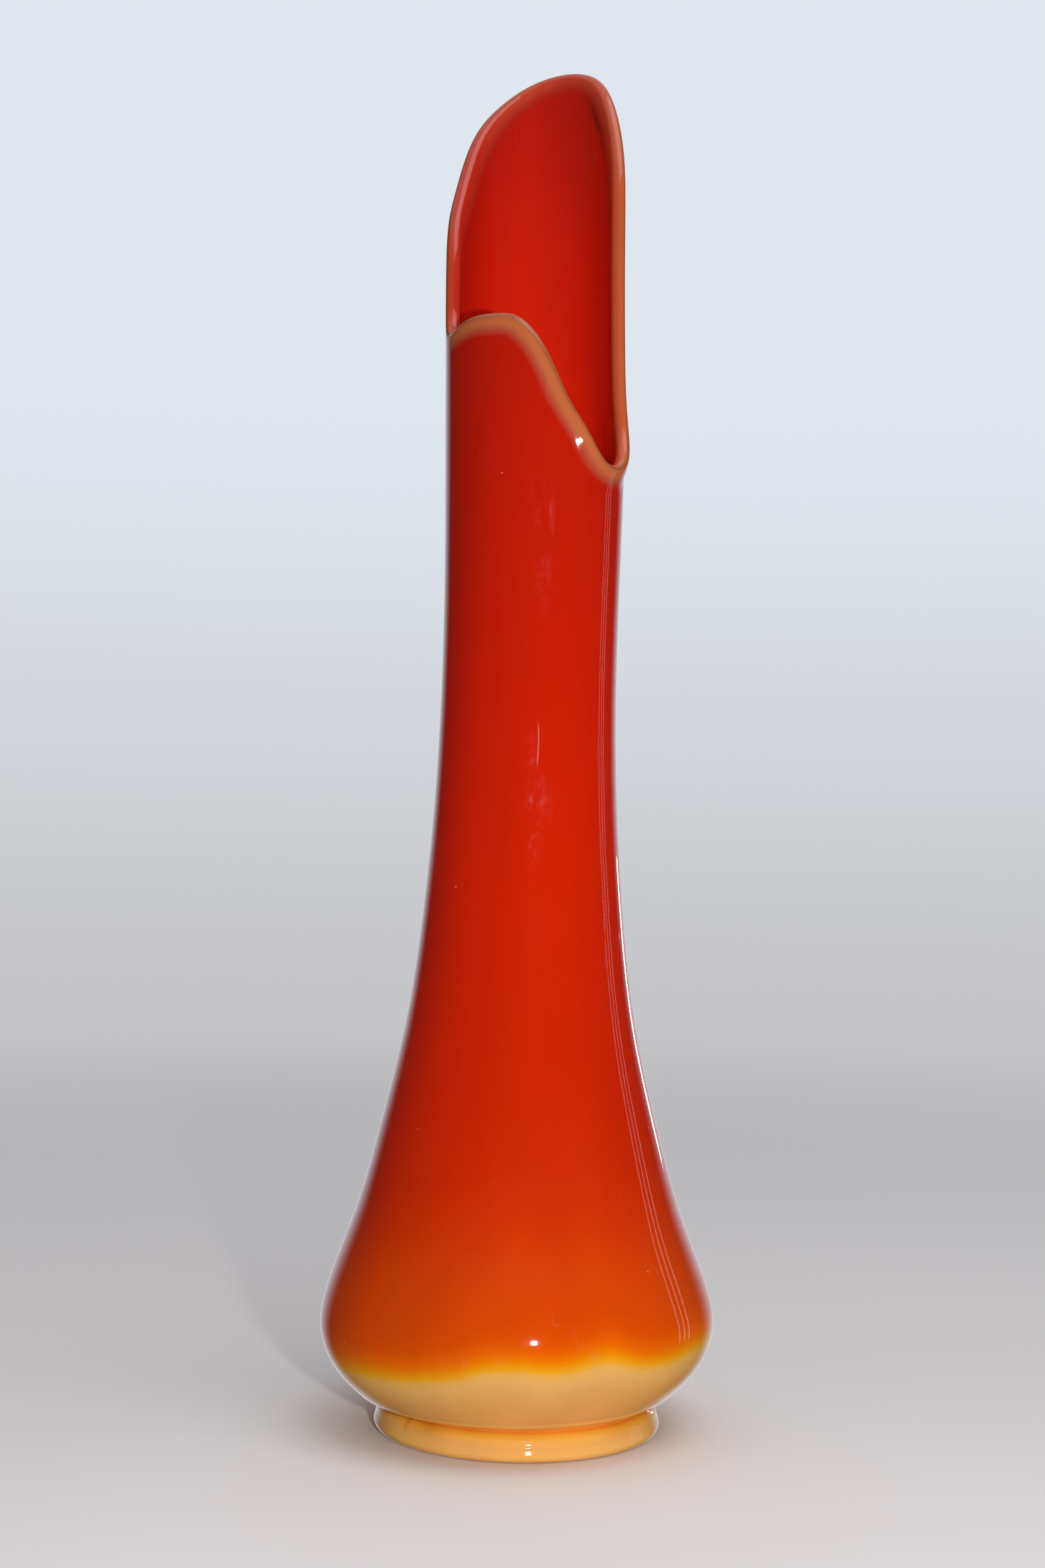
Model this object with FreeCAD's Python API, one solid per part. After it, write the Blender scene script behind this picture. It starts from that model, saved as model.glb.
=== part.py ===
"""Swung blown-glass vase with a footed bowl, a long neck and an uneven open mouth.

Units are millimetres and degrees.  +Z is up, +Y points to the back of the vase (its tall petal) and
the origin is the centre of the foot's resting face.  The wall is one continuous shell of glass; it is
kept as the parts a glassmaker gathers and finishes in turn: foot, floor, bowl, neck and lip.
"""
import FreeCAD, Part
import math
import os

from FreeCAD import Vector

# ---- driving dimensions -------------------------------------------------------------------------
FOOT_RADIUS = 52.5            # widest part of the foot ring
FOOT_HEIGHT = 9.8             # resting face to the crease under the bowl
FOOT_WAIST = 0.8              # how far the ring draws in above its widest bead
FOOT_REST_INNER = 43.5        # flat ring the vase stands on, from here ...
FOOT_REST_OUTER = 49.0        # ... out to here
FOOT_HOLLOW_RADIUS = 41.0     # recess inside the foot ring
CREASE_RADIUS = 48.4          # where the bowl tucks in on the foot

FLOOR_UNDERSIDE = 5.4         # glass above the recess, at its rim
FLOOR_KICK = 2.2              # how far the middle of the underside is pushed up
FLOOR_TOP = 13.4              # inside floor, at the rim
FLOOR_DISH = 1.2              # how far the middle of the inside floor dips

BOWL_RADIUS = 72.4            # widest part of the bowl
BOWL_WIDEST_HEIGHT = 39.8
BOWL_TOP = 120.0              # the bowl's shoulder runs into the neck here
NECK_RADIUS = 32.4            # narrowest part of the neck
NECK_WAIST_HEIGHT = 289.0
MOUTH_RADIUS = 33.5           # slight swelling below the mouth
MOUTH_HEIGHT = 371.0
WALL_STOCK_TOP = 530.0        # the tube runs past the lip before the mouth is cut

NECK_WALL = 5.0               # glass thickness in the neck
BOWL_WALL = 6.0               # and at the bowl's widest line

LIP_BAND = 7.0                # height of the reheated, paler lip measured square to the edge
LIP_ROUND = 2.2               # fire-polished rounding on both lip edges
PEAK_ANGLE = 68.0             # direction of the tallest point of the mouth, from +X towards +Y
PEAK_HEIGHT = 512.8
SEAM_ANGLE = 245.0            # where the turned surfaces close, under the level front of the mouth

# Outside of the wall between the named lines above, as (radius, height).
BOWL_UNDERSIDE = [(54.9, 12.8), (60.6, 16.8), (66.3, 22.8), (70.8, 30.8)]
SHOULDER = [(70.9, 49.0), (66.9, 61.0), (60.1, 79.0), (51.6, 109.0), (42.4, 149.0), (37.1, 189.0),
            (33.9, 229.0)]

# Mouth edge as (direction, height), once round: down the left of the tall petal, along the front lobe,
# down to the notch at front right, then up the right of the petal.
MOUTH_EDGE = [(PEAK_ANGLE, PEAK_HEIGHT), (94, 509.4), (117, 499.8), (133, 489.3), (146, 476.3),
              (159, 461), (171, 448.8), (179, 436.8), (184, 421), (188, 408), (196, 401.8),
              (209, 402.8), (224, 404.8), (243, 405), (257, 403.8), (266, 400.8), (276, 393.3),
              (293, 374), (303, 364.8), (313, 356.8), (321, 353.5), (330, 353.3), (341, 356.3),
              (351, 362.8), (357, 375), (360, 395), (363, 424), (366, 451), (371, 469.3),
              (380, 484.3), (393, 498.8), (408, 508.8)]


# ---- outlines -----------------------------------------------------------------------------------
def at(radius, height):
    """Point of a revolved outline, drawn in the XZ plane."""
    return Vector(radius, 0, height)


def line(start, end):
    return Part.makeLine(start, end)


def arc(start, middle, end):
    return Part.Arc(start, middle, end).toShape()


def smooth(points):
    """Curve through the points, as one edge."""
    curve = Part.BSplineCurve()
    curve.interpolate(points)
    return curve.toShape()


def revolve(edges):
    """Closed outline in the XZ plane, turned once round the vase's axis.

    The surface's seam is kept clear of the mouth's steep stretches.
    """
    face = Part.Face(Part.Wire(edges))
    solid = face.revolve(Vector(0, 0, 0), Vector(0, 0, 1), 360)
    solid.rotate(Vector(0, 0, 0), Vector(0, 0, 1), SEAM_ANGLE)
    return solid


def wall_thickness(height):
    """Glass thins evenly from the bowl's widest line to the neck's waist, then stays the same."""
    span = NECK_WAIST_HEIGHT - BOWL_WIDEST_HEIGHT
    share = min(max((height - BOWL_WIDEST_HEIGHT) / span, 0.0), 1.0)
    return BOWL_WALL + (NECK_WALL - BOWL_WALL) * share


def outer_points():
    """Outside of the wall from the crease to the top of the tube."""
    pairs = [(CREASE_RADIUS, FOOT_HEIGHT)] + BOWL_UNDERSIDE
    pairs += [(BOWL_RADIUS, BOWL_WIDEST_HEIGHT)] + SHOULDER
    pairs += [(NECK_RADIUS, NECK_WAIST_HEIGHT), (MOUTH_RADIUS, MOUTH_HEIGHT)]
    pairs += [(MOUTH_RADIUS, 0.5 * (MOUTH_HEIGHT + WALL_STOCK_TOP)), (MOUTH_RADIUS, WALL_STOCK_TOP)]
    return pairs


def inner_points():
    """Inside of the wall, from the floor's rim up, one wall thickness in from the outside."""
    outside = smooth([at(*pair) for pair in outer_points()]).Curve
    pairs = [(FOOT_HOLLOW_RADIUS, FLOOR_TOP), (52.0, 18.2), (60.0, 25.5)]
    heights = [BOWL_WIDEST_HEIGHT] + [height for _, height in SHOULDER]
    heights += [NECK_WAIST_HEIGHT, MOUTH_HEIGHT, 0.5 * (MOUTH_HEIGHT + WALL_STOCK_TOP)]
    for height in heights:
        spot = outside.intersectCC(Part.LineSegment(at(0, height), at(2 * BOWL_RADIUS, height)))[0]
        slope = outside.tangent(outside.parameter(Vector(spot.X, spot.Y, spot.Z)))[0]
        inward = Vector(-slope.z, 0, slope.x)
        point = Vector(spot.X, spot.Y, spot.Z) + inward * wall_thickness(height)
        pairs.append((point.x, point.z))
    pairs.append((MOUTH_RADIUS - NECK_WALL, WALL_STOCK_TOP))
    return pairs


# ---- mouth --------------------------------------------------------------------------------------
def mouth_curve(radius, drop):
    """Mouth edge at one radius; drop moves it away from the glass's edge, square to the edge."""
    count = len(MOUTH_EDGE)
    flat = [(MOUTH_RADIUS * math.radians(angle), height) for angle, height in MOUTH_EDGE]
    turn = MOUTH_RADIUS * 2 * math.pi
    points = []
    for index in range(count):
        before = flat[index - 1]
        after = flat[(index + 1) % count]
        along = after[0] - before[0]
        if along < -turn / 2:
            along += turn
        elif index == 0:
            along += turn
        rise = after[1] - before[1]
        length = math.hypot(along, rise)
        across = flat[index][0] + drop * rise / length
        height = flat[index][1] - drop * along / length
        angle = across / MOUTH_RADIUS
        points.append(Vector(radius * math.cos(angle), radius * math.sin(angle), height))
    curve = Part.BSplineCurve()
    curve.interpolate(points, PeriodicFlag=True)
    return curve.toShape()


def mouth_surface(drop):
    """Ring-shaped surface of level lines from the axis outwards, passing through the mouth edge."""
    inside = mouth_curve(MOUTH_RADIUS - 3 * NECK_WALL, drop)
    outside = mouth_curve(MOUTH_RADIUS + NECK_WALL, drop)
    return Part.makeRuledSurface(inside, outside)


def split_by(solid, surface):
    """Two pieces of a solid either side of a surface, the lower one first."""
    pieces, _ = solid.generalFuse([surface])
    return sorted(pieces.Solids, key=lambda piece: piece.BoundBox.ZMin)


# ---- parts --------------------------------------------------------------------------------------
def make_foot_ring():
    """Low ring with a full bead near the table and a smaller one above it, under the crease."""
    waist_radius = FOOT_RADIUS - FOOT_WAIST
    outside = [at(FOOT_REST_OUTER, 0), at(FOOT_RADIUS - 1.0, 1.0), at(FOOT_RADIUS, 3.4),
               at(waist_radius, 5.7), at(waist_radius - 0.2, 7.1), at(waist_radius - 1.3, 8.8),
               at(CREASE_RADIUS, FOOT_HEIGHT)]
    edges = [
        line(at(FOOT_REST_INNER, 0), at(FOOT_REST_OUTER, 0)),
        smooth(outside),
        line(at(CREASE_RADIUS, FOOT_HEIGHT), at(FOOT_HOLLOW_RADIUS, FOOT_HEIGHT)),
        line(at(FOOT_HOLLOW_RADIUS, FOOT_HEIGHT), at(FOOT_HOLLOW_RADIUS, 2.2)),
        arc(at(FOOT_HOLLOW_RADIUS, 2.2), at(FOOT_HOLLOW_RADIUS + 0.8, 0.6), at(FOOT_REST_INNER, 0)),
    ]
    return revolve(edges)


def dome(depth, middle_height, upward):
    """Ball whose cap is this deep across the foot's hollow; its top or bottom is at the middle."""
    radius = (FOOT_HOLLOW_RADIUS ** 2 + depth ** 2) / (2 * depth)
    shift = -radius if upward else radius
    ball = Part.makeSphere(radius, Vector(0, 0, 0), Vector(1, 0, 0))
    return ball.translate(Vector(0, 0, middle_height + shift))


def make_floor_disc():
    """Bottom of the bubble, inside the foot ring: kicked up below and slightly dished above."""
    disc = Part.makeCylinder(FOOT_HOLLOW_RADIUS, FLOOR_TOP - FLOOR_UNDERSIDE,
                             Vector(0, 0, FLOOR_UNDERSIDE))
    kick = dome(FLOOR_KICK, FLOOR_UNDERSIDE + FLOOR_KICK, True)
    dish = dome(FLOOR_DISH, FLOOR_TOP - FLOOR_DISH, False)
    return disc.cut(kick).cut(dish)


def make_wall():
    """Bowl and neck as one tube, still uncut at the top."""
    outside = [at(*pair) for pair in outer_points()]
    inside = [at(*pair) for pair in inner_points()]
    edges = [
        line(at(FOOT_HOLLOW_RADIUS, FOOT_HEIGHT), outside[0]),
        smooth(outside),
        line(outside[-1], inside[-1]),
        smooth(inside),
        line(inside[0], at(FOOT_HOLLOW_RADIUS, FOOT_HEIGHT)),
    ]
    return revolve(edges)


def make_bowl_and_tube():
    """The wall cut level at the shoulder."""
    size = 4 * BOWL_RADIUS
    corner = Vector(-size / 2, -size / 2, BOWL_TOP - size)
    below = Part.makeBox(size, size, size, corner)
    wall = make_wall()
    return wall.common(below), wall.cut(below)


def round_lip(tube):
    """Fire polishing: both edges of the cut mouth are rounded over."""
    cut_faces = [face for face in tube.Faces if face.BoundBox.ZMax > PEAK_HEIGHT - 1
                 and face.BoundBox.ZMin > BOWL_TOP + 1]
    return tube.makeFillet(LIP_ROUND, cut_faces[0].Edges)


def make_neck_and_lip(tube):
    """Mouth cut to its outline and rounded, then the pale lip band parted from the neck."""
    trimmed = split_by(tube, mouth_surface(0))[0]
    rounded = round_lip(trimmed)
    return split_by(rounded, mouth_surface(LIP_BAND))


def main():
    os.makedirs("parts", exist_ok=True)
    bowl, tube = make_bowl_and_tube()
    neck, lip = make_neck_and_lip(tube)
    parts = {
        "foot_ring": make_foot_ring(),
        "floor_disc": make_floor_disc(),
        "bowl_wall": bowl,
        "neck_wall": neck,
        "lip_band": lip,
    }
    for name, shape in parts.items():
        shape.exportStep("parts/" + name + ".step")
        print(name, "volume %.1f cm3" % (shape.Volume / 1000), "valid", shape.isValid(),
              "solids", len(shape.Solids))


main()
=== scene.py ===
import math

import bpy
import numpy as np
from mathutils import Matrix, Vector


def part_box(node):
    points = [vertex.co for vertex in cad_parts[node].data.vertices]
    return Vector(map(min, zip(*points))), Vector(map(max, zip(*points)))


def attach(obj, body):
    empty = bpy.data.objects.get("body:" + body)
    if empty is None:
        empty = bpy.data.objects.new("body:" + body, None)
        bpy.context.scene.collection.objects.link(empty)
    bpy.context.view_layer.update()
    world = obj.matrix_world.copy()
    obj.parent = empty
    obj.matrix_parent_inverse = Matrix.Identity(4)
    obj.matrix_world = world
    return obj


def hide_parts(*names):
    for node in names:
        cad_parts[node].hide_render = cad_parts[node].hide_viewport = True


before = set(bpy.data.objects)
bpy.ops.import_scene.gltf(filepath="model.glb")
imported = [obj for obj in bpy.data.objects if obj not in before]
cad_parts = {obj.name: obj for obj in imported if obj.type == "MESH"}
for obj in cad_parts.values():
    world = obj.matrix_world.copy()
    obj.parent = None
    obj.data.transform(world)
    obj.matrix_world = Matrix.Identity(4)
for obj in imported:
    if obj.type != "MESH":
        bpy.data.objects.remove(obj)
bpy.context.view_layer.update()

# =================================================================================================
# Sizes.  Outlines are in millimetres, like the design's; everything handed to Blender is in metres.
# Directions round the vase are in degrees from +X towards +Y (270 is the front).
# =================================================================================================
MM = 0.001

foot_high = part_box("foot_ring")[1] / MM
floor_low, floor_high = (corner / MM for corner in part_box("floor_disc"))
bowl_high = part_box("bowl_wall")[1] / MM
lip_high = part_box("lip_band")[1] / MM

FOOT_RADIUS = foot_high.x
FOOT_HEIGHT = foot_high.z
FOOT_HOLLOW_RADIUS = floor_high.x
FLOOR_UNDERSIDE = floor_low.z
FLOOR_TOP = floor_high.z
SHOULDER_HEIGHT = bowl_high.z          # bowl below, neck above
PEAK_HEIGHT = lip_high.z

CREASE_RADIUS = 48.4
MOUTH_RADIUS = 33.5
NECK_TURN = 2 * math.pi * MOUTH_RADIUS      # once round the neck
NECK_WALL = 5.0
BOWL_WALL = 6.0
BOWL_WIDEST_HEIGHT = 39.8
NECK_WAIST_HEIGHT = 289.0
FLOOR_KICK = 2.2              # how far the floor's underside rises to its middle
FLOOR_DISH = 1.2              # how far its top sinks to its middle

# Outside of the wall, as (radius, height), from the crease on the foot to past the mouth.
WALL_OUTLINE = [(CREASE_RADIUS, FOOT_HEIGHT), (48.9, 10.5), (54.9, 12.8), (60.6, 16.8), (66.3, 22.8),
                (70.8, 30.8), (72.4, BOWL_WIDEST_HEIGHT), (70.9, 49), (66.9, 61), (60.1, 79),
                (51.6, 109), (42.4, 149), (37.1, 189), (33.9, 229), (32.4, NECK_WAIST_HEIGHT),
                (33.5, 371), (33.55, 421), (33.9, 455), (34.5, 484), (35.3, 520)]
# Inside of the bowl's underside, from the floor's rim, as (radius, height).
INNER_HEEL = [(FOOT_HOLLOW_RADIUS, FLOOR_TOP), (52, 18.2), (60, 25.5)]

# Outside of the foot, as (radius, height), from the flat ring it stands on to the crease: full lower
# bead, slight groove, softer upper bead.
FOOT_OUTLINE = [(49.2, 0), (51.4, 0.5), (52.25, 1.6), (FOOT_RADIUS, 2.6), (52.42, 3.2), (52.24, 3.9),
                (52.05, 4.6), (51.78, 5.2), (51.62, 5.7), (51.56, 6.2), (51.4, 6.8), (51.22, 7.4),
                (50.85, 8.1), (50.2, 8.8), (49.3, 9.4), (CREASE_RADIUS, FOOT_HEIGHT)]
FOOT_HOLLOW_ROUND = (2.5, 2.2)              # rounding of the hollow's lower edge: across, up
FOOT_REST_RADII = (45, 46.5, 48)            # rings across the flat that it stands on
FOOT_TOP_RADII = (46, 43.5)                 # rings across its top, under the bowl

# The axis wanders a little, as (sideways shift, height): the neck was swung by hand.
AXIS_SWAY = [(0, FOOT_HEIGHT), (-0.6, 38), (-1.1, 80), (-1.4, 120), (-1.4, 190), (-1.0, 270),
             (-0.5, 345), (-1.15, 403), (-1.8, 455), (-1.9, 520)]

# Mouth edge, as (direction, height), once round from the tall petal's peak.
MOUTH_EDGE = [(68, PEAK_HEIGHT - 0.5), (94, 508.6), (117, 498.8), (133, 488.6), (146, 476), (159, 461),
              (171, 448.8), (179, 436.8), (184, 421), (188, 409), (196, 403.2), (209, 404),
              (224, 405.8), (243, 405.9), (257, 404.5), (266, 400.8), (276, 393.3), (293, 374),
              (303, 364.8), (313, 356.8), (321, 353.5), (330, 353.3), (341, 356.3), (351, 362.8),
              (357, 375), (360, 395), (363, 424), (366, 451), (371, 469.3), (380, 484.3),
              (392.5, 498.8), (407, 508.6)]

# Where the cream glass gives way to orange, as (direction, height), once round.
COLOUR_LINE = [(5, 34.6), (38, 31.9), (78, 37.7), (116, 35.6), (150, 31.2), (176, 26.9), (197, 28.4),
               (220, 31.9), (235, 33.1), (246, 33.7), (256, 35.7), (264, 38.6), (272, 38.6), (279, 37.6),
               (286, 38.4), (296, 40.4), (306, 37.2), (316, 36.5), (328, 37.6), (342, 38.3)]
FLOOR_LINE_HEIGHT = 36.0      # the floor is coloured as if that line were level, this high

# The lip turns outward all round, much more by the notch, and a little more on the slope beside it.
LEAST_FLARE = 0.1
NOTCH_FLARE = 2.1
NOTCH_DIRECTION = 338
NOTCH_REACH = (35, 60)        # degrees to either side: in full to the first, none from the second
NOTCH_HEIGHT = 355
NOTCH_SPREAD = 20             # up and down from there
SLOPE_FLARE = 0.68
SLOPE_DIRECTION = 302
SLOPE_SPREAD = 9              # degrees to either side
FLARE_WIDTH = 10.2            # how far below the edge the lip starts to turn outward
FLARE_FULL = 2.0              # and where it is turned all the way

LIP_BAND = 7.0                # the lip piece's depth, square to the edge
BEAD_IN = 0.3                 # swelling of the reheated lip on the inside
BEAD_MIDDLE = 3.6             # distance from the edge where it is fullest
BEAD_SPREAD = 3.0
ROUND_START = 3.0             # distance from the edge where its rounding starts

# Mesh density
COLUMNS = 320
BODY_STEP = 2.4               # between rows up the bowl and neck
RELAXED_HEIGHT = 296.0        # below this the rows are level; above, they drift into the mouth's line
MOUTH_ROWS = 64               # rows from there to the lip's offset line
MOUTH_PULL = 60.0             # how firmly they turn square to the edge
LIP_MARGIN = 11.0             # rows keep their distance from the edge within this
EDGE_ROWS = [LIP_MARGIN, 9.6, 8.3, LIP_BAND, 5.9, 4.9, 4.1, 3.4]     # and these are their distances
ROUND_STEPS = 9               # rows over each half of the rounded lip
INSIDE_STRIDE = 60            # the inside is shaped by every 60th point of the outside
EDGE_POINTS = 1500            # points of the mouth edge that distances are measured from
NEAR_EDGE_HEIGHT = 330.0      # the glass below this is far from the mouth edge
FAR_FROM_EDGE = 99.0          # and has this as its distance from it
FOOT_ROWS = 60                # rows up the outside of the foot
FOOT_ROUND_STEPS = 6          # rows over the rounding of its hollow
FLOOR_RINGS = 26              # rings over each side of the floor


# =================================================================================================
# Curves
# =================================================================================================
def chord_knots(points):
    """Running length along a polyline."""
    steps = np.hypot(*np.diff(points, axis=0).T)
    return np.concatenate([[0.0], np.cumsum(steps)])


def second_slopes(knots, values, closed):
    """Second derivatives of the smooth cubic through values at knots; free or closed ends."""
    gaps = np.diff(knots)
    count = len(values)
    system = np.zeros((count, count))
    right = np.zeros_like(values)
    slopes = np.diff(values, axis=0) / gaps[:, None]
    for i in range(1, count - 1):
        system[i, i - 1] = gaps[i - 1]
        system[i, i] = 2 * (gaps[i - 1] + gaps[i])
        system[i, i + 1] = gaps[i]
        right[i] = 6 * (slopes[i] - slopes[i - 1])
    if closed:
        system[0, 0] = 1
        system[0, -1] = -1
        system[-1, 0] = 2 * (gaps[0] + gaps[-1])
        system[-1, 1] = gaps[0]
        system[-1, -2] = gaps[-1]
        right[-1] = 6 * (slopes[0] - slopes[-1])
    else:
        system[0, 0] = 1
        system[-1, -1] = 1
    return np.linalg.solve(system, right)


class SmoothCurve:
    """Smooth cubic through points; at(t) takes running lengths."""

    def __init__(self, points, closed=False):
        self.points = np.array(points, float)
        self.knots = chord_knots(self.points)
        self.bends = second_slopes(self.knots, self.points, closed)
        self.length = self.knots[-1]

    def at(self, where):
        where = np.clip(np.asarray(where, float), 0, self.length)
        i = np.clip(np.searchsorted(self.knots, where, side="right") - 1, 0, len(self.knots) - 2)
        gap = (self.knots[i + 1] - self.knots[i])[..., None]
        a = (self.knots[i + 1] - where)[..., None] / gap
        b = 1 - a
        cubic = ((a ** 3 - a) * self.bends[i] + (b ** 3 - b) * self.bends[i + 1]) * gap ** 2 / 6
        return a * self.points[i] + b * self.points[i + 1] + cubic


def cubic_between(share, start, leaving, end, arriving):
    """Point at a share of the way from start to end, with the directions it leaves and arrives in."""
    return ((2 * share ** 3 - 3 * share ** 2 + 1) * start + (share ** 3 - 2 * share ** 2 + share) * leaving
            + (-2 * share ** 3 + 3 * share ** 2) * end + (share ** 3 - share ** 2) * arriving)


def sampled(points, count=6000, closed=False):
    """Many points along the smooth curve."""
    curve = SmoothCurve(points, closed)
    return curve.at(np.linspace(0, curve.length, count))


def unrolled(pairs):
    """(direction, height) pairs as (distance round the neck, height), closed on itself."""
    flat = [(MOUTH_RADIUS * math.radians(angle), height) for angle, height in pairs]
    flat.append((flat[0][0] + NECK_TURN, flat[0][1]))
    return flat


def smoothstep(low, high, value):
    """Eased rise from 0 at low to 1 at high."""
    share = np.clip((value - low) / (high - low), 0, 1)
    return share * share * (3 - 2 * share)


def hump(away, spread):
    """Rounded rise, 1 where away is 0 and nearly gone at twice the spread."""
    return np.exp(-(away / spread) ** 2)


# =================================================================================================
# The wall's surfaces
# =================================================================================================
OUTSIDE = sampled(WALL_OUTLINE)
SWAY = sampled(AXIS_SWAY)
SWAY_LEAN = np.gradient(SWAY[:, 0]) / np.gradient(SWAY[:, 1])
LINE = sampled(unrolled(COLOUR_LINE), closed=True)


def outer_radius(height):
    """Radius of the outside at a height."""
    return np.interp(height, OUTSIDE[:, 1], OUTSIDE[:, 0])


def wall_thickness(height):
    """The wall thins from the bowl's widest line to the neck's waist."""
    share = np.clip((height - BOWL_WIDEST_HEIGHT) / (NECK_WAIST_HEIGHT - BOWL_WIDEST_HEIGHT), 0, 1)
    return BOWL_WALL + (NECK_WALL - BOWL_WALL) * share


def inner_outline():
    """Inside of the wall from the floor's rim up, one wall thickness in from the outside."""
    start = np.searchsorted(OUTSIDE[:, 1], BOWL_WIDEST_HEIGHT)
    path = OUTSIDE[start::INSIDE_STRIDE]
    along = np.gradient(path, axis=0)
    along /= np.linalg.norm(along, axis=1)[:, None]
    inward = np.stack([-along[:, 1], along[:, 0]], axis=1)
    inner = path + inward * wall_thickness(path[:, 1])[:, None]
    return sampled(INNER_HEEL + [tuple(point) for point in inner])


INSIDE = inner_outline()


def inner_radius(height):
    """Radius of the inside at a height."""
    return np.interp(height, INSIDE[:, 1], INSIDE[:, 0])


def line_height(angle):
    """Height of the colour line in a direction, in radians."""
    start = LINE[0, 0]
    across = (angle * MOUTH_RADIUS - start) % NECK_TURN + start
    return np.interp(across, LINE[:, 0], LINE[:, 1])


def angle_apart(angle, centre_degrees):
    """Signed angle from a direction, in degrees."""
    return (np.degrees(angle) - centre_degrees + 180) % 360 - 180


def lip_flare(angle, height, edge):
    """How far the lip is turned outward at a direction, height and distance from the edge."""
    near_notch = 1 - smoothstep(*NOTCH_REACH, np.abs(angle_apart(angle, NOTCH_DIRECTION)))
    on_slope = hump(angle_apart(angle, SLOPE_DIRECTION), SLOPE_SPREAD)
    at_notch = hump(height - NOTCH_HEIGHT, NOTCH_SPREAD)
    turned_out = 1 - smoothstep(FLARE_FULL, FLARE_WIDTH, edge)
    return (LEAST_FLARE + (NOTCH_FLARE * near_notch + SLOPE_FLARE * on_slope) * at_notch) * turned_out


def bead(edge):
    """Share, 0 to 1, of the swelling near the reheated edge."""
    return hump(edge - BEAD_MIDDLE, BEAD_SPREAD)


def petal_dark_line(angle, edge):
    """A dark line along the inside of the lip, right of the petal's peak."""
    along = 1 - smoothstep(3, 17, np.abs(angle_apart(angle, 40)))
    return along * hump(edge - 8.2, 1.5)


def left_shade(angle):
    """Painted shade: the inside is darker at the left, from the tall petal's middle round to the front."""
    from_left = angle_apart(angle, 172)
    return smoothstep(-76, 0, from_left) * (1 - smoothstep(13, 58, from_left))


def foot_stain(angle, height):
    """Shear mark where the foot's gather was cut, a brown smear beside it and one further round."""
    mark = hump(angle_apart(angle, 220), 1.3)
    smear = 0.5 * hump(angle_apart(angle, 232), 9) + 0.35 * hump(angle_apart(angle, 318), 8)
    return 0.6 * (mark + smear) * smoothstep(4.5, 7.5, height)


# =================================================================================================
# Grid over the wall: rows from the crease up the outside, over the lip and down the inside
# =================================================================================================
def mouth_line():
    """Points along the mouth edge and unit vectors into the glass, both unrolled."""
    curve = SmoothCurve(unrolled(MOUTH_EDGE), closed=True)
    # Columns are evenly spaced along the edge, so they crowd together round the vase where it is steep.
    where = np.linspace(0, curve.length, COLUMNS + 1)[:-1]
    nudge = 0.05
    here = curve.at(where)
    ahead = curve.at((where + nudge) % curve.length)
    behind = curve.at((where - nudge) % curve.length)
    along = ahead - behind
    along[:, 0] = (along[:, 0] + NECK_TURN / 2) % NECK_TURN - NECK_TURN / 2
    along /= np.linalg.norm(along, axis=1)[:, None]
    into_glass = np.stack([along[:, 1], -along[:, 0]], axis=1)
    return here, into_glass


def wall_grid(edge_points, into_glass):
    """(across, height, edge distance) of each row and column, from the crease to near the lip's crest.

    across is the distance round a neck of MOUTH_RADIUS, so across / MOUTH_RADIUS is the direction.
    """
    near = edge_points + into_glass * LIP_MARGIN
    even = edge_points[0, 0] + np.arange(COLUMNS) * NECK_TURN / COLUMNS
    rows = [(even, np.full(COLUMNS, height)) for height in level_rows()]

    # The next rows leave those going straight up and arrive at the lip square to it.
    leave = np.stack([even, np.full(COLUMNS, RELAXED_HEIGHT)], axis=1)
    rise = near[:, 1] - RELAXED_HEIGHT
    up = np.stack([np.zeros(COLUMNS), rise], axis=1)
    pull = -into_glass * np.minimum(rise, MOUTH_PULL)[:, None]
    for step in range(1, MOUTH_ROWS):
        rows.append(cubic_between(step / MOUTH_ROWS, leave, up, near, pull).T)
    for edge in EDGE_ROWS:
        rows.append((edge_points + into_glass * edge).T)

    across = np.array([row[0] for row in rows])
    height = np.array([row[1] for row in rows])
    edge = edge_distance(across, height)
    edge[-len(EDGE_ROWS):] = np.array(EDGE_ROWS)[:, None]
    return across, height, edge


def level_rows():
    """Heights of the level rows, evenly spaced along the outline, with one at the shoulder."""
    run = chord_knots(OUTSIDE)
    stops = []
    for low, high in ((FOOT_HEIGHT, SHOULDER_HEIGHT), (SHOULDER_HEIGHT, RELAXED_HEIGHT)):
        first = np.interp(low, OUTSIDE[:, 1], run)
        last = np.interp(high, OUTSIDE[:, 1], run)
        count = int(math.ceil((last - first) / BODY_STEP))
        lengths = np.linspace(first, last, count + 1)
        stops.extend(np.interp(lengths, run, OUTSIDE[:, 1])[:-1])
    stops.append(RELAXED_HEIGHT)
    return stops


def edge_distance(across, height):
    """Distance from each grid point to the mouth edge, unrolled, for the lip's colour and bead."""
    line = sampled(unrolled(MOUTH_EDGE), EDGE_POINTS, closed=True)
    result = np.full(across.shape, FAR_FROM_EDGE)
    near_edge = height > NEAR_EDGE_HEIGHT
    for shift in (-NECK_TURN, 0, NECK_TURN):
        for row in np.where(near_edge.any(axis=1))[0]:
            gap = np.hypot(across[row][:, None] - line[:, 0] - shift, height[row][:, None] - line[:, 1])
            result[row] = np.minimum(result[row], gap.min(axis=1))
    return result


def place(angle, radius, height):
    """Points in metres; above the foot the rings follow the swaying axis and lean with it."""
    sway = np.interp(height, SWAY[:, 1], SWAY[:, 0])
    lean = np.interp(height, SWAY[:, 1], SWAY_LEAN) * smoothstep(FOOT_HEIGHT, FOOT_HEIGHT + 5, height)
    across = radius * np.cos(angle)
    return np.stack([(across + sway) * MM, radius * np.sin(angle) * MM, (height - across * lean) * MM],
                    axis=-1)


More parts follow.
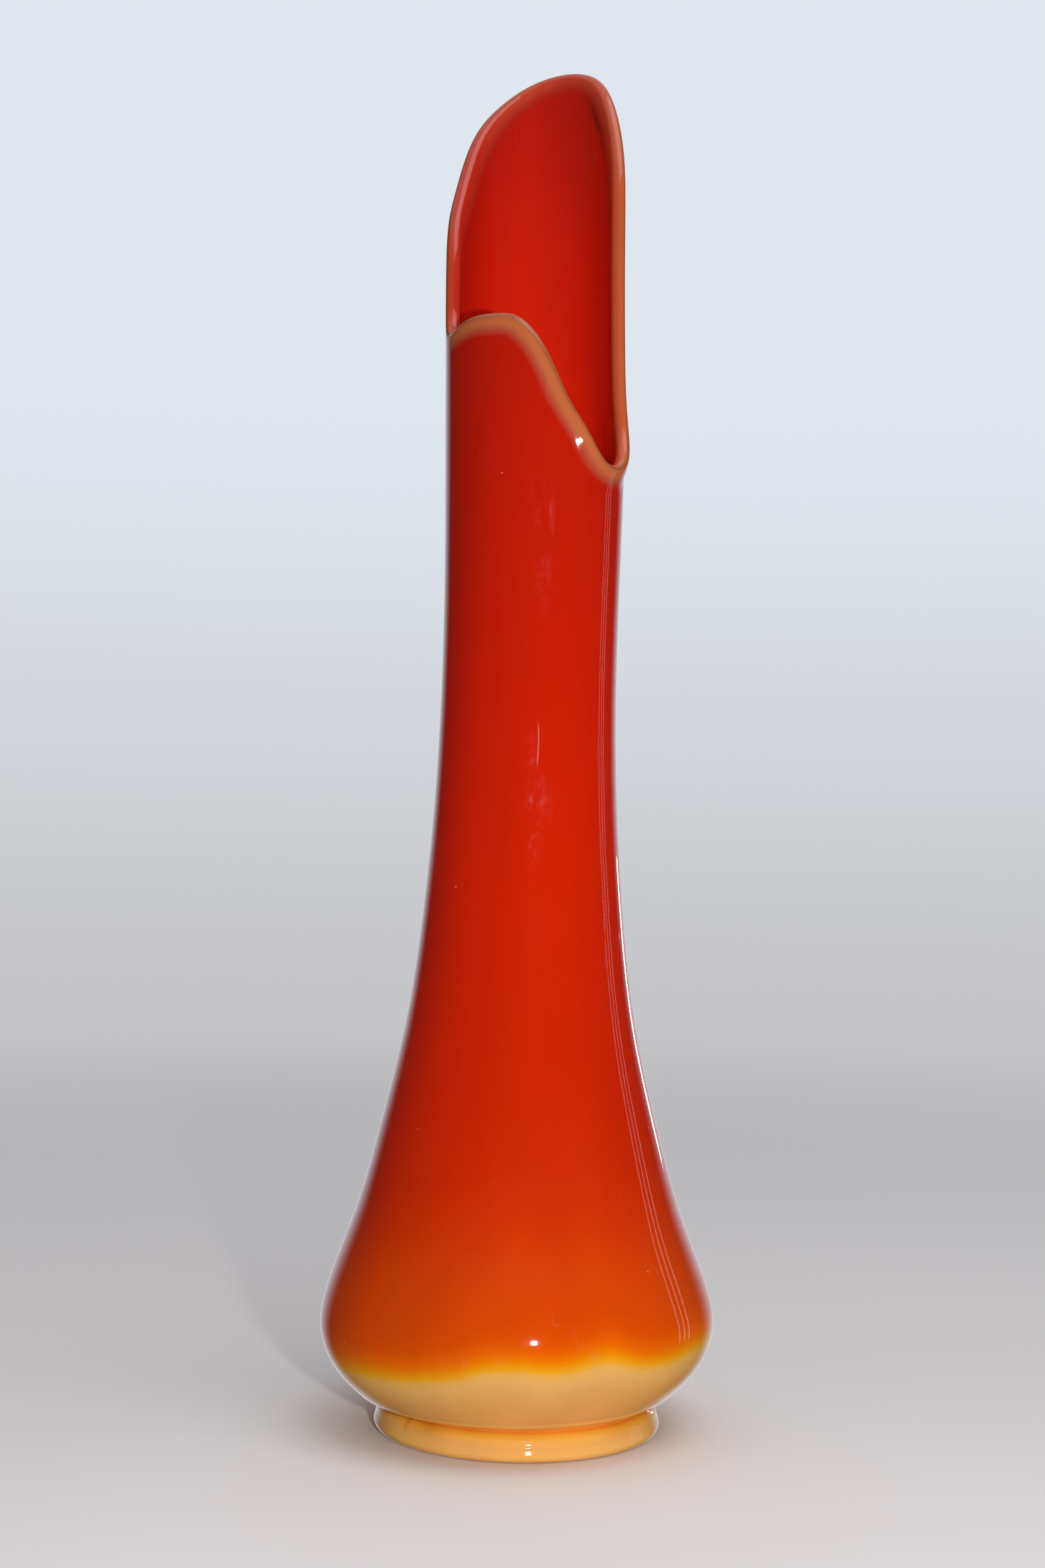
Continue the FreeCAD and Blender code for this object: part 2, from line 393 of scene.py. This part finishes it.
def round_lip(edge_points, into_glass):
    """Rows over the half-round lip, as (direction, radius, height, edge distance)."""
    swell = BEAD_IN * bead(ROUND_START)
    half = (NECK_WALL + swell) / 2
    rows = []
    for step in range(-ROUND_STEPS, ROUND_STEPS + 1):
        turn = math.radians(90) * step / ROUND_STEPS
        depth = half * (1 - math.cos(turn))
        across, height = (edge_points + into_glass * depth).T
        angle = across / MOUTH_RADIUS
        middle = outer_radius(height) - NECK_WALL / 2 - swell / 2
        radius = middle - half * math.sin(turn) + lip_flare(angle, height, depth)
        rows.append((angle, radius, height, np.full(COLUMNS, depth)))
    return np.array(rows).transpose(1, 0, 2)


def inside_rows(angle, height, edge):
    """The outside's rows again on the inside, from the lip down to the floor's rim."""
    # Below the bowl's widest line the inside has its own heel and ends at the floor's rim.
    share = (height - FOOT_HEIGHT) / (BOWL_WIDEST_HEIGHT - FOOT_HEIGHT)
    heel = FLOOR_TOP + share * (BOWL_WIDEST_HEIGHT - FLOOR_TOP)
    height = np.where(height < BOWL_WIDEST_HEIGHT, heel, height)
    radius = inner_radius(height) - BEAD_IN * bead(edge) + lip_flare(angle, height, edge)
    return [rows[::-1] for rows in (angle, radius, height, edge)]


def wall_rows():
    """All rows of the wall: places, normals, shading values, and the rows where its pieces part."""
    edge_points, into_glass = mouth_line()
    across, height, edge = wall_grid(edge_points, into_glass)
    angle = across / MOUTH_RADIUS
    outside = (angle, outer_radius(height) + lip_flare(angle, height, edge), height, edge)
    tip = round_lip(edge_points, into_glass)
    inside = inside_rows(angle, height, edge)

    outer_count = len(across)
    levels = level_rows()
    angle, radius, height, edge = (np.concatenate(rows) for rows in zip(outside, tip, inside))
    share = np.concatenate([np.zeros(outer_count), np.linspace(0, 1, len(tip[0])), np.ones(outer_count)])
    inside_share = np.repeat(share[:, None], COLUMNS, axis=1)
    point = place(angle, radius, height)
    return {
        "point": point,
        "normal": grid_normals(point),
        "values": {
            "edge": edge,
            "height": height,
            "above_line": height - line_height(angle),
            "inside": inside_share,
            "marks": petal_dark_line(angle, edge) * inside_share,
            # painted shade on the inside at the left
            "shade": left_shade(angle),
        },
        "shoulder": levels.index(min(levels, key=lambda level: abs(level - SHOULDER_HEIGHT))),
        "lip": outer_count - len(EDGE_ROWS) + EDGE_ROWS.index(LIP_BAND),
    }


# =================================================================================================
# Meshes
# =================================================================================================
def grid_normals(points):
    """Smooth normals of a grid that closes round its columns, pointing out of the glass."""
    right = np.roll(points, -1, axis=1) - np.roll(points, 1, axis=1)
    up = np.gradient(points, axis=0)
    normal = np.cross(right, up)
    return normal / np.maximum(np.linalg.norm(normal, axis=2), 1e-12)[..., None]


def ring_faces(ring_a, ring_b):
    """Quads between two rings of vertex numbers."""
    faces = []
    for i in range(COLUMNS):
        j = (i + 1) % COLUMNS
        faces.append((ring_a[i], ring_a[j], ring_b[j], ring_b[i]))
    return faces


def make_object(name, vertices, faces, loop_normals, values):
    """Mesh object with smooth custom normals and per-vertex shading values."""
    mesh = bpy.data.meshes.new(name)
    mesh.from_pydata([tuple(v) for v in vertices], [], faces)
    mesh.polygons.foreach_set("use_smooth", [True] * len(mesh.polygons))
    for key, data in values.items():
        layer = mesh.attributes.new(key, "FLOAT", "POINT")
        layer.data.foreach_set("value", np.asarray(data, np.float32))
    if loop_normals is not None:
        mesh.normals_split_custom_set([tuple(n) for n in loop_normals])
    piece = bpy.data.objects.new(name, mesh)
    bpy.context.scene.collection.objects.link(piece)
    return piece


def wall_piece(name, wall, strips, closings):
    """A closed piece of the wall: strips of grid rows, joined by flat rings at its cut faces.

    strips are (first row, last row); closings are pairs of rows joined straight across.
    """
    picked = [row for first, last in strips for row in range(first, last + 1)]
    ring_of = {}
    for number, row in enumerate(picked):
        ring_of[row] = range(number * COLUMNS, (number + 1) * COLUMNS)
    vertices = wall["point"][picked].reshape(-1, 3)
    normals = wall["normal"][picked].reshape(-1, 3)
    values = {key: data[picked].ravel() for key, data in wall["values"].items()}

    faces = []
    for first, last in strips:
        for row in range(first, last):
            faces.extend(ring_faces(ring_of[row], ring_of[row + 1]))
    loop_normals = [normals[vertex] for face in faces for vertex in face]
    for row_a, row_b in closings:
        for face in ring_faces(ring_of[row_a], ring_of[row_b]):
            faces.append(face)
            corner = vertices[list(face)]
            flat = np.cross(corner[2] - corner[0], corner[3] - corner[1])
            flat /= max(np.linalg.norm(flat), 1e-12)
            loop_normals.extend([flat] * 4)
    return make_object(name, vertices, faces, loop_normals, values)


def build_wall():
    """Bowl, neck and lip, cut from one continuous grid so that their surfaces run on."""
    wall = wall_rows()
    last = len(wall["point"]) - 1
    shoulder = wall["shoulder"]
    lip = wall["lip"]
    bowl = wall_piece("bowl_glass", wall, [(0, shoulder), (last - shoulder, last)],
                      [(shoulder, last - shoulder), (last, 0)])
    neck = wall_piece("neck_glass", wall, [(shoulder, lip), (last - lip, last - shoulder)],
                      [(lip, last - lip), (last - shoulder, shoulder)])
    rim = wall_piece("lip_glass", wall, [(lip, last - lip)], [(last - lip, lip)])
    return bowl, neck, rim


def turned(outline):
    """Vertices of an outline turned round the axis, its rings of vertex numbers, and directions."""
    angle = np.arange(COLUMNS) * 2 * math.pi / COLUMNS
    vertices = [place(angle, np.full(COLUMNS, radius), np.full(COLUMNS, height))
                for radius, height in outline]
    rings = [range(row * COLUMNS, (row + 1) * COLUMNS) for row in range(len(outline))]
    return np.concatenate(vertices), rings, angle


def build_foot():
    """Foot ring: two beads outside, a hollow inside, and a flat ring to stand on."""
    across, up = FOOT_HOLLOW_ROUND
    outline = [tuple(point) for point in sampled(FOOT_OUTLINE, FOOT_ROWS)]
    outline += [(radius, FOOT_HEIGHT) for radius in FOOT_TOP_RADII]
    outline += [(FOOT_HOLLOW_RADIUS, height) for height in (FOOT_HEIGHT, (FOOT_HEIGHT + up) / 2, up)]
    for step in range(1, FOOT_ROUND_STEPS + 1):
        turn = math.radians(90) * step / FOOT_ROUND_STEPS
        outline.append((FOOT_HOLLOW_RADIUS + across * (1 - math.cos(turn)), up * (1 - math.sin(turn))))
    outline += [(radius, 0) for radius in FOOT_REST_RADII]

    vertices, rings, angle = turned(outline)
    marks = np.concatenate([foot_stain(angle, height) for radius, height in outline])
    faces = []
    for ring, following in zip(rings, rings[1:] + rings[:1]):
        faces.extend(ring_faces(ring, following))
    values = {"height": vertices[:, 2] / MM, "marks": marks}
    return make_object("foot_glass", vertices, faces, None, values)


def build_floor():
    """Bottom of the bubble: kicked up below, slightly dished above."""
    outward = range(1, FLOOR_RINGS + 1)
    outline = []
    for level, rise, order in ((FLOOR_UNDERSIDE, FLOOR_KICK, outward),
                               (FLOOR_TOP, -FLOOR_DISH, reversed(outward))):
        for step in order:
            share = step / FLOOR_RINGS
            outline.append((FOOT_HOLLOW_RADIUS * share, level + rise * (1 - share ** 2)))
    vertices, rings, _ = turned(outline)
    low_middle = (0, 0, (FLOOR_UNDERSIDE + FLOOR_KICK) * MM)
    high_middle = (0, 0, (FLOOR_TOP - FLOOR_DISH) * MM)
    vertices = np.concatenate([vertices, [low_middle, high_middle]])
    faces = []
    for ring, following in zip(rings, rings[1:]):
        faces.extend(ring_faces(ring, following))
    count = len(vertices)
    for i in range(COLUMNS):
        j = (i + 1) % COLUMNS
        faces.append((rings[0][j], rings[0][i], count - 2))
        faces.append((rings[-1][i], rings[-1][j], count - 1))

    height = vertices[:, 2] / MM
    middle_height = (FLOOR_UNDERSIDE + FLOOR_TOP) / 2
    values = {"edge": np.full(count, FAR_FROM_EDGE), "inside": (height > middle_height).astype(float),
              "above_line": height - FLOOR_LINE_HEIGHT, "marks": np.zeros(count),
              "shade": np.zeros(count), "height": height}
    piece = make_object("floor_glass", vertices, faces, None, values)
    piece.data.set_sharp_from_angle(angle=math.radians(40))
    return piece


# =================================================================================================
# Materials
# =================================================================================================
def srgb(red, green, blue):
    """Display colour, 0 to 255, as a linear colour."""
    linear = []
    for value in (red, green, blue):
        share = value / 255
        linear.append(share / 12.92 if share <= 0.04045 else ((share + 0.055) / 1.055) ** 2.4)
    return (*linear, 1.0)


class Nodes:
    """Short names for building the node tree of a material or the world."""

    def __init__(self, owner):
        owner.use_nodes = True
        self.tree = owner.node_tree
        self.tree.nodes.clear()

    def new(self, kind, **settings):
        node = self.tree.nodes.new(kind)
        for key, value in settings.items():
            setattr(node, key, value)
        return node

    def link(self, source, target):
        self.tree.links.new(source, target)

    def put(self, value, socket):
        """Links a socket, or sets a plain value."""
        if isinstance(value, bpy.types.NodeSocket):
            self.link(value, socket)
        else:
            socket.default_value = value

    def value(self, name):
        """A per-vertex shading value."""
        return self.new("ShaderNodeAttribute", attribute_name=name).outputs["Fac"]

    def maths(self, operation, a, b=0.0, clamp=False):
        node = self.new("ShaderNodeMath", operation=operation, use_clamp=clamp)
        self.put(a, node.inputs[0])
        self.put(b, node.inputs[1])
        return node.outputs[0]

    def spread(self, value, low, high, out_low=0.0, out_high=1.0, smooth=False):
        """The value carried from low..high to out_low..out_high, held at the ends."""
        node = self.new("ShaderNodeMapRange")
        if smooth:
            node.interpolation_type = "SMOOTHSTEP"
        self.put(value, node.inputs["Value"])
        node.inputs["From Min"].default_value = low
        node.inputs["From Max"].default_value = high
        node.inputs["To Min"].default_value = out_low
        node.inputs["To Max"].default_value = out_high
        return node.outputs["Result"]

    def ramp(self, value, low, high, stops):
        """Colour by a value in millimetres; stops are (millimetres, colour)."""
        node = self.new("ShaderNodeValToRGB")
        ramp = node.color_ramp
        ramp.interpolation = "LINEAR"
        for index, (place_mm, colour) in enumerate(stops):
            position = (place_mm - low) / (high - low)
            if index < 2:
                stop = ramp.elements[index]
                stop.position = position
            else:
                stop = ramp.elements.new(position)
            stop.color = colour
        self.link(self.spread(value, low, high), node.inputs["Fac"])
        return node.outputs["Color"]

    def mix(self, factor, a, b):
        node = self.new("ShaderNodeMix", data_type="RGBA")
        self.put(factor, node.inputs["Factor"])
        self.put(a, node.inputs["A"])
        self.put(b, node.inputs["B"])
        return node.outputs["Result"]

    def noise(self, scale, stretch=(1, 1, 1), detail=2.0, roughness=0.5, shift=(0, 0, 0)):
        """Soft noise fixed to the piece; a stretch below 1 draws it out along that axis."""
        where = self.new("ShaderNodeTexCoord").outputs["Object"]
        mapping = self.new("ShaderNodeMapping")
        mapping.inputs["Scale"].default_value = stretch
        mapping.inputs["Location"].default_value = shift
        self.link(where, mapping.inputs["Vector"])
        node = self.new("ShaderNodeTexNoise")
        node.inputs["Scale"].default_value = scale
        node.inputs["Detail"].default_value = detail
        node.inputs["Roughness"].default_value = roughness
        self.link(mapping.outputs["Vector"], node.inputs["Vector"])
        return node.outputs["Fac"]

    def bump(self, height, strength, distance, below=None):
        node = self.new("ShaderNodeBump")
        node.inputs["Strength"].default_value = strength
        node.inputs["Distance"].default_value = distance
        self.link(height, node.inputs["Height"])
        if below is not None:
            self.link(below, node.inputs["Normal"])
        return node.outputs["Normal"]


# Colour up the outside, in millimetres above the colour line.
OUTSIDE_COLOURS = [
    (-30, srgb(240, 170, 90)), (-22, srgb(232, 166, 90)), (-16, srgb(221, 160, 87)),
    (-11, srgb(217, 160, 88)), (-6.5, srgb(220, 166, 95)), (-3.8, srgb(220, 168, 91)),
    (-2.2, srgb(224, 163, 40)), (-0.4, srgb(224, 146, 5)), (1.6, srgb(222, 118, 1)),
    (4.5, srgb(218, 94, 0)), (8.5, srgb(206, 74, 1)), (14, srgb(200, 67, 2)), (28, srgb(196, 60, 3)),
    (45, srgb(192, 48, 2)), (62, srgb(189, 38, 2)), (90, srgb(190, 33, 2)), (170, srgb(194, 30, 2)),
    (240, srgb(192, 27, 3)), (330, srgb(187, 26, 5)), (480, srgb(181, 29, 8)),
]
# Colour up the inside.
INSIDE_COLOURS = [
    (-30, srgb(214, 150, 84)), (-8, srgb(222, 150, 60)), (0, srgb(224, 110, 8)),
    (12, srgb(214, 70, 6)), (60, srgb(208, 42, 6)), (200, srgb(210, 32, 8)),
    (345, srgb(228, 36, 12)), (368, srgb(220, 33, 11)), (402, srgb(208, 30, 10)),
    (437, srgb(192, 27, 10)), (462, srgb(184, 26, 11)), (480, srgb(182, 26, 12)),
]
# Colour up the foot, in millimetres from the surface it stands on. Its amber top is the glass's own
# colour, lifted lighter as painted light where the bowl shades it, standing in for light glowing through
# the glass.
FOOT_COLOURS = [
    (0, srgb(242, 164, 82)), (1.2, srgb(248, 186, 106)), (5.0, srgb(248, 186, 104)),
    (7.0, srgb(251, 185, 92)), (8.2, srgb(254, 184, 70)), (9.2, srgb(255, 180, 58)),
    (9.8, srgb(250, 160, 44)),
]
BODY_RAMP = (-40, 480)        # ends of the two ramps up the body
FOOT_RAMP = (0, 10)           # ends of the ramp up the foot

CREASE_AMBER = srgb(242, 142, 44)
# painted shade: the inside darkens to this at the left
PAINTED_SHADE_DARK = srgb(70, 8, 4)
# dark marks: the foot's shear mark and smears, and a dark line inside the lip
MARK_COLOUR = srgb(84, 28, 15)
DUST = srgb(236, 170, 140)
BLUSH_OUTSIDE = srgb(184, 74, 54)
BLUSH_INSIDE = srgb(172, 42, 30)
LIP_OUTSIDE = srgb(196, 104, 61)
LIP_INSIDE = srgb(194, 67, 43)
# painted shade: the lip's band darkens to this at the left
LIP_IN_PAINTED_SHADE = srgb(188, 44, 26)
# painted reflection: a thin olive line along the lip's outer corner
OLIVE_PAINTED_REFLECTION = srgb(104, 72, 32)

NOISE_RANGE = (0.3, 0.7)      # where nearly all of a noise's values lie
TINT_RANGE = (0.965, 1.035)   # how far streaks and clouds darken and lighten the glass
POLISHED_ROUGHNESS = 0.045
WORN_ROUGHNESS = 0.34
GLASS_IOR = 1.5
GLASS_SPECULAR = 0.42
GLOW_REACH = 0.008            # how far light spreads inside the foot's glass, in metres
GLOW_TINT = (1.0, 0.6, 0.3)   # and the share of that for red, green and blue


def lip_colouring(n, colour, edge, inside, shade):
    """Reheated lip: tan outside, rosier inside, darker at the left with painted shade, and a thin olive
    painted reflection along its outer corner.
    """
    wander = n.spread(n.noise(60, detail=2), *NOISE_RANGE, -0.5, 0.5)
    edge = n.maths("ADD", edge, wander)
    # The band is narrowed at the left along the painted-shade mask.
    edge = n.maths("SUBTRACT", edge, n.maths("MULTIPLY", shade, 1.2))
    blush = n.mix(inside, n.spread(edge, 9.2, 6.2, smooth=True), n.spread(edge, 9.0, 4.8, smooth=True))
    colour = n.mix(blush, colour, n.mix(inside, BLUSH_OUTSIDE, BLUSH_INSIDE))
    share = n.mix(inside, n.spread(edge, 7.2, 4.0, smooth=True), n.spread(edge, 7.2, 2.4, smooth=True))
    tan = n.mix(inside, LIP_OUTSIDE, LIP_INSIDE)
    # Painted shade: the band darkens towards the left.
    shaded_lip = n.mix(n.maths("MULTIPLY", shade, 1.6, clamp=True), tan, LIP_IN_PAINTED_SHADE)
    colour = n.mix(share, colour, shaded_lip)
    # Painted reflection: a thin olive line on the lip's outer corner, where the glass would catch a
    # grazing reflection.
    corner = n.maths("MULTIPLY", n.spread(inside, 0.0, 0.14, smooth=True),
                     n.spread(inside, 0.34, 0.16, 0.0, 0.4, smooth=True))
    return n.mix(corner, colour, OLIVE_PAINTED_REFLECTION)


def body_colouring(n, above, inside):
    """Cream to orange to red; the colour line is soft and a little ragged."""
    ragged = n.spread(n.noise(28, detail=3), *NOISE_RANGE, -0.9, 0.9)
    above = n.maths("ADD", above, ragged)
    outside_colour = n.ramp(above, *BODY_RAMP, OUTSIDE_COLOURS)
    inside_colour = n.ramp(above, *BODY_RAMP, INSIDE_COLOURS)
    return n.mix(inside, outside_colour, inside_colour)


def specks(n, colour):
    """Sparse dust on the glass: a small round dot in about a quarter of the cells."""
    cells = n.new("ShaderNodeTexVoronoi")
    cells.inputs["Scale"].default_value = 85
    n.link(n.new("ShaderNodeTexCoord").outputs["Object"], cells.inputs["Vector"])
    chance = n.new("ShaderNodeSeparateColor")
    n.link(cells.outputs["Color"], chance.inputs["Color"])
    near = n.spread(cells.outputs["Distance"], 0.035, 0.02)
    chosen = n.maths("MULTIPLY", near, n.maths("GREATER_THAN", chance.outputs["Red"], 0.72))
    return n.mix(n.maths("MULTIPLY", chosen, 0.55), colour, DUST)


def handled_roughness(n):
    """Polished glass with hazy finger marks and fine upright scratches."""
    handled = n.spread(n.noise(17, detail=2, shift=(4, 8, 1)), 0.50, 0.66, smooth=True)
    hazy = n.noise(170, stretch=(1, 1, 0.5), detail=4, roughness=0.7, shift=(2, 6, 3))
    hazy = n.spread(hazy, 0.46, 0.7)
    haze = n.maths("MULTIPLY", handled, hazy)
    drawn = n.noise(60, stretch=(1, 1, 0.1), detail=3, shift=(7, 3, 5))
    off_line = n.maths("ABSOLUTE", n.maths("SUBTRACT", drawn, 0.5))
    scratch = n.maths("MULTIPLY", n.spread(off_line, 0.012, 0.0),
                      n.spread(n.noise(30, detail=1, shift=(1, 9, 4)), 0.52, 0.6))
    worn = n.maths("MAXIMUM", n.maths("MULTIPLY", haze, 0.55), n.maths("MULTIPLY", scratch, 0.8))
    return n.spread(worn, 0.0, 1.0, POLISHED_ROUGHNESS, WORN_ROUGHNESS)


def wall_colouring(n):
    """Colour of the blown wall: up from the foot, then over the lip."""
    inside = n.value("inside")
    colour = body_colouring(n, n.value("above_line"), inside)
    crease = n.maths("MULTIPLY", n.spread(n.value("height"), 12.6, 10.0, 0.0, 0.8, smooth=True),
                     n.maths("SUBTRACT", 1.0, inside))
    colour = n.mix(crease, colour, CREASE_AMBER)
    # Painted shade: the inside is darkened towards its left.
    shade = n.maths("MULTIPLY", n.value("shade"), inside)
    colour = n.mix(n.maths("MULTIPLY", shade, 0.42), colour, PAINTED_SHADE_DARK)
    return lip_colouring(n, colour, n.value("edge"), inside, shade)


def foot_colouring(n):
    """Colour of the foot: peach beads under an amber neck, a little uneven; the neck's amber is partly a
    painted glow.
    """
    uneven = n.spread(n.noise(26, detail=3, shift=(5, 5, 1)), *NOISE_RANGE, -1.3, 1.3)
    height = n.maths("ADD", n.value("height"), uneven)
    return n.ramp(height, *FOOT_RAMP, FOOT_COLOURS)


def drawn_out(n, colour):
    """Streaks drawn out along the neck, and cloudy depth in the body."""
    streaks = n.noise(55, stretch=(1, 1, 0.05), detail=3)
    clouds = n.noise(14, stretch=(1, 1, 0.5), detail=3, shift=(3, 1, 7))
    shade = n.maths("MULTIPLY", n.spread(streaks, *NOISE_RANGE, *TINT_RANGE),
                    n.spread(clouds, *NOISE_RANGE, *TINT_RANGE))
    tinted = n.new("ShaderNodeVectorMath", operation="SCALE")
    n.link(colour, tinted.inputs[0])
    n.link(shade, tinted.inputs["Scale"])
    return tinted.outputs["Vector"]


def glass_material(name, colouring, glow):
    """Opaque heat-struck glass; glow is the share of the light that spreads inside it."""
    material = bpy.data.materials.new(name)
    n = Nodes(material)
    output = n.new("ShaderNodeOutputMaterial")
    shader = n.new("ShaderNodeBsdfPrincipled")
    n.link(shader.outputs["BSDF"], output.inputs["Surface"])

    patchy = n.spread(n.noise(120, detail=3, shift=(6, 2, 8)), 0.3, 0.65, 0.35, 1.0)
    marks = n.maths("MULTIPLY", n.value("marks"), patchy)
    colour = n.mix(n.maths("MULTIPLY", marks, 0.75, clamp=True), colouring(n), MARK_COLOUR)
    n.link(specks(n, drawn_out(n, colour)), shader.inputs["Base Color"])
    n.link(handled_roughness(n), shader.inputs["Roughness"])

    # Slow ripples drawn out along the neck, under a very fine unevenness.
    ripple = n.noise(22, stretch=(1, 1, 0.12), detail=1)
    skin = n.noise(260, detail=1, shift=(1, 5, 2))
    normal = n.bump(ripple, 0.25, 0.0006)
    normal = n.bump(skin, 0.06, 0.0002, below=normal)
    n.link(normal, shader.inputs["Normal"])

    shader.inputs["IOR"].default_value = GLASS_IOR
    shader.inputs["Specular IOR Level"].default_value = GLASS_SPECULAR
    shader.inputs["Subsurface Weight"].default_value = glow
    shader.inputs["Subsurface Radius"].default_value = GLOW_TINT
    shader.inputs["Subsurface Scale"].default_value = GLOW_REACH
    return material


# =================================================================================================
# Stage, light and camera
# =================================================================================================
FLOOR_REACH = 8.0
FLOOR_FADE = (0.35, 1.8)      # the floor fades into the backdrop between these distances
CARD_LOW = (0.1, -0.86)
CARD_HIGH = (0.17, -0.785)
CARD_LEVEL = 0.178            # just under the front light

STRIP_DIRECTIONS = (105, 110, 115)      # degrees from the camera's side, round to the right
STRIP_DISTANCE = 1.5

CAMERA_DISTANCE = 0.8313      # from the vase's axis, level
CAMERA_SIDE = -0.0026
CAMERA_HEIGHT = 0.2208
CAMERA_PITCH = 1.09           # degrees upward
CAMERA_ROLL = 1.2             # degrees: the picture leans to the right
CAMERA_LENS = 51.4
CAMERA_SENSOR = 36


def level_sheet(name, low, high, level):
    """A level rectangle between two corners, with a material of its own name."""
    corners = [(low[0], low[1], level), (high[0], low[1], level),
               (high[0], high[1], level), (low[0], high[1], level)]
    mesh = bpy.data.meshes.new(name)
    mesh.from_pydata(corners, [], [(0, 1, 2, 3)])
    sheet = bpy.data.objects.new(name, mesh)
    bpy.context.scene.collection.objects.link(sheet)
    material = bpy.data.materials.new(name)
    mesh.materials.append(material)
    return sheet, material


def build_stage_floor():
    """A pale matt floor that fades into the backdrop."""
    reach = FLOOR_REACH
    floor, material = level_sheet("stage_floor", (-reach, -reach), (reach, reach), 0)
    n = Nodes(material)
    output = n.new("ShaderNodeOutputMaterial")
    shader = n.new("ShaderNodeBsdfPrincipled")
    shader.inputs["Base Color"].default_value = (0.78, 0.76, 0.77, 1)
    shader.inputs["Roughness"].default_value = 1.0
    shader.inputs["Specular IOR Level"].default_value = 0.0
    away = n.new("ShaderNodeVectorMath", operation="LENGTH")
    n.link(n.new("ShaderNodeTexCoord").outputs["Object"], away.inputs[0])
    fade = n.new("ShaderNodeMixShader")
    n.link(n.spread(away.outputs["Value"], *FLOOR_FADE, smooth=True), fade.inputs["Fac"])
    n.link(shader.outputs["BSDF"], fade.inputs[1])
    n.link(n.new("ShaderNodeBsdfTransparent").outputs["BSDF"], fade.inputs[2])
    n.link(fade.outputs["Shader"], output.inputs["Surface"])
    floor.visible_glossy = False


def build_stage_card():
    """A small dark card that keeps the front light off the floor; only its shadow is seen."""
    card, material = level_sheet("stage_card", CARD_LOW, CARD_HIGH, CARD_LEVEL)
    n = Nodes(material)
    output = n.new("ShaderNodeOutputMaterial")
    shader = n.new("ShaderNodeBsdfDiffuse")
    shader.inputs["Color"].default_value = (0.02, 0.02, 0.02, 1)
    n.link(shader.outputs["BSDF"], output.inputs["Surface"])
    card.visible_camera = False
    card.visible_glossy = False


def area_light(name, location, target, size, power, colour=(1, 1, 1), lights_surfaces=True):
    """A soft box; one that doesn't light surfaces only shows in their gloss."""
    data = bpy.data.lights.new(name, "AREA")
    data.shape = "RECTANGLE"
    data.size, data.size_y = size
    data.energy = power
    data.color = colour
    light = bpy.data.objects.new(name, data)
    light.location = location
    aim = Vector(target) - Vector(location)
    light.rotation_euler = aim.to_track_quat("-Z", "Y").to_euler()
    light.visible_camera = False
    light.visible_diffuse = lights_surfaces
    bpy.context.scene.collection.objects.link(light)


WINDOW_GLOW = (0.74, 0.79, 0.85, 1)
CEILING_GLOW = (0.8, 0.8, 0.81, 1)
DIM_ROOM = (0.03, 0.032, 0.035, 1)
BACKDROP_LOW = (0.56, 0.56, 0.58, 1)


def build_world():
    """A dim room, bright behind the vase and overhead, with a pale backdrop on every side."""
    world = bpy.data.worlds.new("studio")
    bpy.context.scene.world = world
    n = Nodes(world)
    output = n.new("ShaderNodeOutputWorld")
    background = n.new("ShaderNodeBackground")
    split = n.new("ShaderNodeSeparateXYZ")
    n.link(n.new("ShaderNodeTexCoord").outputs["Generated"], split.inputs[0])
    behind = n.spread(split.outputs["Y"], 0.70, 0.94, smooth=True)
    above = n.spread(split.outputs["Z"], 0.45, 0.9, smooth=True)
    room = n.mix(above, DIM_ROOM, CEILING_GLOW)
    room = n.mix(behind, room, WINDOW_GLOW)
    rising = n.spread(split.outputs["Z"], -0.1, 0.2, smooth=True)
    backdrop = n.mix(rising, BACKDROP_LOW, WINDOW_GLOW)
    seen = n.new("ShaderNodeLightPath").outputs["Is Camera Ray"]
    n.link(n.mix(seen, room, backdrop), background.inputs["Color"])
    n.link(background.outputs["Background"], output.inputs["Surface"])


def build_lights():
    """A small front light beside the camera, a high soft box, and slim strips that only show in gloss."""
    area_light("front", (0.135, -0.83, 0.205), (0, 0, 0.24), (0.036, 0.028), 4.6, (1, 0.97, 0.93))
    area_light("overhead", (0.5, -0.5, 1.45), (0, 0, 0.25), (1.1, 0.8), 6.0, (0.97, 0.98, 1))
    area_light("low_right", (0.62, 1.05, 0.15), (0, 0, 0.12), (0.05, 0.17), 0.5, lights_surfaces=False)
    for number, turn in enumerate(STRIP_DIRECTIONS):
        way = math.radians(turn)
        spot = (STRIP_DISTANCE * math.sin(way), -STRIP_DISTANCE * math.cos(way), 0.3)
        area_light("strip_%d" % number, spot, (0, 0, 0.3), (0.02, 1.0), 0.14, lights_surfaces=False)


def build_camera():
    """The camera stands level with the lower half of the vase and looks up a little."""
    data = bpy.data.cameras.new("camera")
    data.lens = CAMERA_LENS
    data.sensor_width = CAMERA_SENSOR
    camera = bpy.data.objects.new("camera", data)
    camera.matrix_world = (Matrix.Translation((CAMERA_SIDE, -CAMERA_DISTANCE, CAMERA_HEIGHT))
                           @ Matrix.Rotation(math.radians(90 + CAMERA_PITCH), 4, "X")
                           @ Matrix.Rotation(math.radians(CAMERA_ROLL), 4, "Z"))
    bpy.context.scene.collection.objects.link(camera)
    bpy.context.scene.camera = camera


# =================================================================================================
# Build
# =================================================================================================
def dress(piece, node, colouring=wall_colouring, glow=0.0):
    """Gives a piece its glass, hides its CAD node and attaches it to the root body."""
    piece.data.materials.append(glass_material(piece.name, colouring, glow))
    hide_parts(node)
    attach(piece, "root")


bpy.context.scene.view_settings.view_transform = "Standard"
bowl_glass, neck_glass, lip_glass = build_wall()
dress(bowl_glass, "bowl_wall")
dress(neck_glass, "neck_wall")
dress(lip_glass, "lip_band")
dress(build_foot(), "foot_ring", colouring=foot_colouring, glow=0.5)
dress(build_floor(), "floor_disc")
build_stage_floor()
build_stage_card()
build_world()
build_lights()
build_camera()
